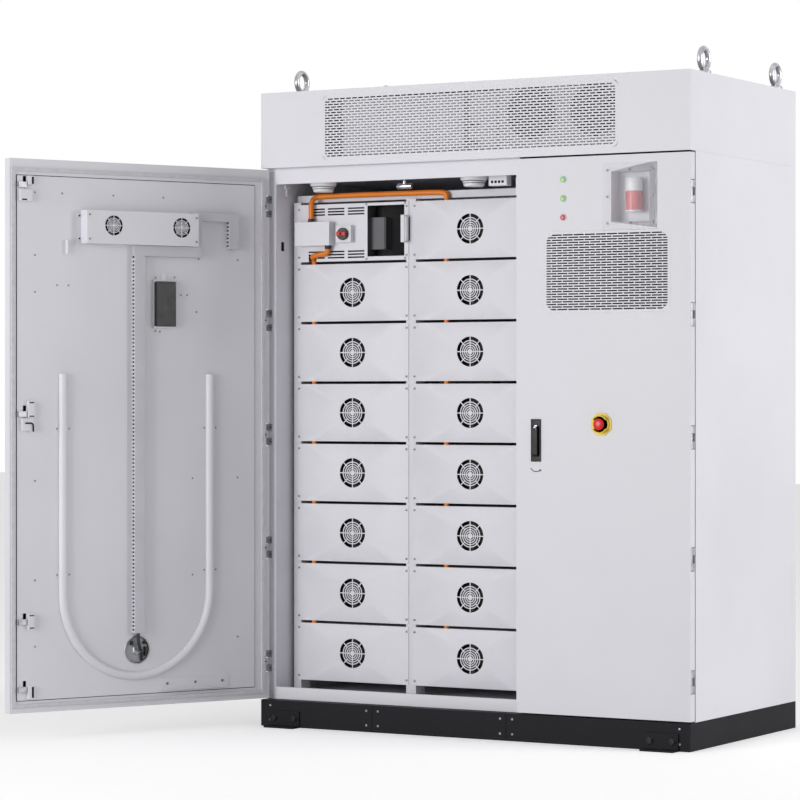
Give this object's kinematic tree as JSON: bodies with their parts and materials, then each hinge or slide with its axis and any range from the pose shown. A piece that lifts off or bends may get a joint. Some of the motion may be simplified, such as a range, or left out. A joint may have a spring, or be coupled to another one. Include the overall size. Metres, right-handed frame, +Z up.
{
  "type": "battery energy storage cabinet",
  "caption": "Outdoor battery storage cabinet: hinged doors with lever locks, racked battery packs, control box, power compartment, roof cooling unit, plinth with floor anchors and lifting eyes.",
  "frame": {"origin": "on the floor, at the centre of the cabinet's footprint and of its four floor anchors", "axes": "+Z up, +X to the right along the front, +Y from the front into the cabinet's depth"},
  "size_m": [2.1794, 1.8858, 2.4],
  "materials": {
    "cabinet_paint": "light grey powder coat, fine texture, satin",
    "plinth_paint": "black powder coat, satin",
    "pack_paint": "light grey powder coat, satin",
    "rack_paint": "grey powder coat, satin",
    "equipment_paint": "grey painted steel and moulded switchgear, matt",
    "condenser_metal": "dark grey painted sheet, matt",
    "zinc_steel": "zinc-plated steel, satin",
    "orange_cable": "orange cable sheath, matt",
    "seal_rubber": "black foam rubber, matt",
    "duct_plastic": "light grey plastic, matt",
    "fan_plastic": "black glass-filled plastic, matt",
    "black_plastic": "black moulded plastic, satin",
    "white_plastic": "white moulded plastic, semi-gloss",
    "lamp_lens": "tinted lens in a satin bezel",
    "yellow_plastic": "yellow moulded plastic, semi-gloss",
    "red_plastic": "red moulded plastic, semi-gloss",
    "clear_window": "clear polycarbonate sheet"
  },
  "bodies": {
    "cabinet": {"base_plinth": "plinth_paint", "anchor_brackets": "plinth_paint", "cabinet_body": "cabinet_paint", "roof_header": "cabinet_paint", "header_grille": "cabinet_paint", "lifting_eyes": "zinc_steel", "battery_rack": "rack_paint", "battery_packs_left": "pack_paint", "battery_packs_right": "pack_paint", "hv_control_box": "pack_paint", "power_cables": "orange_cable", "bay_detectors": "white_plastic", "condenser_unit": "condenser_metal", "power_equipment": "equipment_paint", "frame_hinge_leaves": "zinc_steel"},
    "left_leaf": {"left_door": "cabinet_paint", "left_door_seal": "seal_rubber", "left_door_hinge_leaves": "zinc_steel", "door_fan_box": "cabinet_paint", "door_cable_duct": "duct_plastic", "door_u_conduit": "duct_plastic", "door_control_module": "black_plastic", "left_handle_tray": "black_plastic"},
    "right_leaf": {"right_door": "cabinet_paint", "right_door_seal": "seal_rubber", "right_door_hinge_leaves": "zinc_steel", "right_door_grille": "cabinet_paint", "right_handle_tray": "black_plastic", "indicator_lamps": "lamp_lens", "estop_guard": "yellow_plastic", "alarm_strobe": "white_plastic", "alarm_window": "clear_window"},
    "left_turn": {"left_handle_spindle": "zinc_steel"},
    "left_lift": {"left_handle_lever": "black_plastic"},
    "left_bolt": {"left_latch_bar": "zinc_steel"},
    "right_turn": {"right_handle_spindle": "zinc_steel"},
    "right_lift": {"right_handle_lever": "black_plastic"},
    "right_bolt": {"right_latch_bar": "zinc_steel"},
    "stop_stem": {"estop_stem": "black_plastic"},
    "stop_cap": {"estop_cap": "red_plastic"},
    "knob": {"disconnect_knob": "red_plastic"},
    "pack_fan_left_1_rotor": {"pack_fan_left_1": "fan_plastic"},
    "pack_fan_left_2_rotor": {"pack_fan_left_2": "fan_plastic"},
    "pack_fan_left_3_rotor": {"pack_fan_left_3": "fan_plastic"},
    "pack_fan_left_4_rotor": {"pack_fan_left_4": "fan_plastic"},
    "pack_fan_left_5_rotor": {"pack_fan_left_5": "fan_plastic"},
    "pack_fan_left_6_rotor": {"pack_fan_left_6": "fan_plastic"},
    "pack_fan_left_7_rotor": {"pack_fan_left_7": "fan_plastic"},
    "pack_fan_right_1_rotor": {"pack_fan_right_1": "fan_plastic"},
    "pack_fan_right_2_rotor": {"pack_fan_right_2": "fan_plastic"},
    "pack_fan_right_3_rotor": {"pack_fan_right_3": "fan_plastic"},
    "pack_fan_right_4_rotor": {"pack_fan_right_4": "fan_plastic"},
    "pack_fan_right_5_rotor": {"pack_fan_right_5": "fan_plastic"},
    "pack_fan_right_6_rotor": {"pack_fan_right_6": "fan_plastic"},
    "pack_fan_right_7_rotor": {"pack_fan_right_7": "fan_plastic"},
    "pack_fan_right_8_rotor": {"pack_fan_right_8": "fan_plastic"},
    "door_fan_1_rotor": {"door_fan_1": "fan_plastic"},
    "door_fan_2_rotor": {"door_fan_2": "fan_plastic"},
    "header_fan_1_rotor": {"header_fan_1": "fan_plastic"},
    "header_fan_2_rotor": {"header_fan_2": "fan_plastic"}
  },
  "joints": [
    {"name": "left_door_swing", "type": "hinge", "parent": "cabinet", "child": "left_leaf", "pos_m": [-0.85, -0.436, 1.059], "axis": [0, 0, -1], "range_deg": [-116, 4]},
    {"name": "right_door_swing", "type": "hinge", "parent": "cabinet", "child": "right_leaf", "pos_m": [0.85, -0.436, 1.059], "axis": [0, 0, 1], "range_deg": [0, 115]},
    {"name": "left_handle_turn", "type": "hinge", "parent": "left_leaf", "child": "left_turn", "pos_m": [-1.29052, -1.29814, 1.09], "axis": [-0.8988, 0.4384, 0], "range_deg": [0, 90]},
    {"name": "left_handle_lift", "type": "hinge", "parent": "left_turn", "child": "left_lift", "pos_m": [-1.29852, -1.29424, 1.09], "axis": [0.4384, 0.8988, 0], "range_deg": [0, 75]},
    {"name": "left_latch_slide", "type": "slide", "parent": "left_leaf", "child": "left_bolt", "axis": [0, 0, 1], "range_m": [0, 0.01885]},
    {"name": "right_handle_turn", "type": "hinge", "parent": "right_leaf", "child": "right_turn", "pos_m": [0.272, -0.454, 1.09], "axis": [0, 1, 0], "range_deg": [0, 90]},
    {"name": "right_handle_lift", "type": "hinge", "parent": "right_turn", "child": "right_lift", "pos_m": [0.272, -0.4629, 1.09], "axis": [-1, 0, 0], "range_deg": [0, 75]},
    {"name": "right_latch_slide", "type": "slide", "parent": "right_leaf", "child": "right_bolt", "axis": [0, 0, 1], "range_m": [0, 0.01885]},
    {"name": "estop_press", "type": "slide", "parent": "right_leaf", "child": "stop_stem", "axis": [0, 1, 0], "range_m": [0, 0.004]},
    {"name": "estop_twist", "type": "hinge", "parent": "stop_stem", "child": "stop_cap", "pos_m": [0.5235, -0.474, 1.102], "axis": [0, 1, 0], "range_deg": [0, 45]},
    {"name": "disconnect_turn", "type": "hinge", "parent": "cabinet", "child": "knob", "pos_m": [-0.579, -0.334, 1.787], "axis": [0, 1, 0], "range_deg": [0, 90]},
    {"name": "pack_fan_left_1_spin", "type": "hinge", "parent": "cabinet", "child": "pack_fan_left_1_rotor", "pos_m": [-0.5535, -0.2795, 0.265], "axis": [0, -1, 0], "continuous": true},
    {"name": "pack_fan_left_2_spin", "type": "hinge", "parent": "cabinet", "child": "pack_fan_left_2_rotor", "pos_m": [-0.5535, -0.2795, 0.4834], "axis": [0, -1, 0], "continuous": true},
    {"name": "pack_fan_left_3_spin", "type": "hinge", "parent": "cabinet", "child": "pack_fan_left_3_rotor", "pos_m": [-0.5535, -0.2795, 0.7018], "axis": [0, -1, 0], "continuous": true},
    {"name": "pack_fan_left_4_spin", "type": "hinge", "parent": "cabinet", "child": "pack_fan_left_4_rotor", "pos_m": [-0.5535, -0.2795, 0.9202], "axis": [0, -1, 0], "continuous": true},
    {"name": "pack_fan_left_5_spin", "type": "hinge", "parent": "cabinet", "child": "pack_fan_left_5_rotor", "pos_m": [-0.5535, -0.2795, 1.1386], "axis": [0, -1, 0], "continuous": true},
    {"name": "pack_fan_left_6_spin", "type": "hinge", "parent": "cabinet", "child": "pack_fan_left_6_rotor", "pos_m": [-0.5535, -0.2795, 1.357], "axis": [0, -1, 0], "continuous": true},
    {"name": "pack_fan_left_7_spin", "type": "hinge", "parent": "cabinet", "child": "pack_fan_left_7_rotor", "pos_m": [-0.5535, -0.2795, 1.5754], "axis": [0, -1, 0], "continuous": true},
    {"name": "pack_fan_right_1_spin", "type": "hinge", "parent": "cabinet", "child": "pack_fan_right_1_rotor", "pos_m": [-0.0665, -0.2795, 0.265], "axis": [0, -1, 0], "continuous": true},
    {"name": "pack_fan_right_2_spin", "type": "hinge", "parent": "cabinet", "child": "pack_fan_right_2_rotor", "pos_m": [-0.0665, -0.2795, 0.4834], "axis": [0, -1, 0], "continuous": true},
    {"name": "pack_fan_right_3_spin", "type": "hinge", "parent": "cabinet", "child": "pack_fan_right_3_rotor", "pos_m": [-0.0665, -0.2795, 0.7018], "axis": [0, -1, 0], "continuous": true},
    {"name": "pack_fan_right_4_spin", "type": "hinge", "parent": "cabinet", "child": "pack_fan_right_4_rotor", "pos_m": [-0.0665, -0.2795, 0.9202], "axis": [0, -1, 0], "continuous": true},
    {"name": "pack_fan_right_5_spin", "type": "hinge", "parent": "cabinet", "child": "pack_fan_right_5_rotor", "pos_m": [-0.0665, -0.2795, 1.1386], "axis": [0, -1, 0], "continuous": true},
    {"name": "pack_fan_right_6_spin", "type": "hinge", "parent": "cabinet", "child": "pack_fan_right_6_rotor", "pos_m": [-0.0665, -0.2795, 1.357], "axis": [0, -1, 0], "continuous": true},
    {"name": "pack_fan_right_7_spin", "type": "hinge", "parent": "cabinet", "child": "pack_fan_right_7_rotor", "pos_m": [-0.0665, -0.2795, 1.5754], "axis": [0, -1, 0], "continuous": true},
    {"name": "pack_fan_right_8_spin", "type": "hinge", "parent": "cabinet", "child": "pack_fan_right_8_rotor", "pos_m": [-0.0665, -0.2795, 1.7938], "axis": [0, -1, 0], "continuous": true},
    {"name": "door_fan_1_spin", "type": "hinge", "parent": "left_leaf", "child": "door_fan_1_rotor", "pos_m": [-0.99987, -0.7946, 1.797], "axis": [0.8988, -0.4384, 0], "continuous": true},
    {"name": "door_fan_2_spin", "type": "hinge", "parent": "left_leaf", "child": "door_fan_2_rotor", "pos_m": [-1.11998, -1.04086, 1.797], "axis": [0.8988, -0.4384, 0], "continuous": true},
    {"name": "header_fan_1_spin", "type": "hinge", "parent": "cabinet", "child": "header_fan_1_rotor", "pos_m": [0.24, -0.3745, 2.181], "axis": [0, -1, 0], "continuous": true},
    {"name": "header_fan_2_spin", "type": "hinge", "parent": "cabinet", "child": "header_fan_2_rotor", "pos_m": [0.487, -0.3745, 2.181], "axis": [0, -1, 0], "continuous": true}
  ],
  "couplings": [
    {"joint": "left_latch_slide", "follows": "left_handle_turn", "m_per_rad": 0.012},
    {"joint": "right_latch_slide", "follows": "right_handle_turn", "m_per_rad": 0.012}
  ]
}
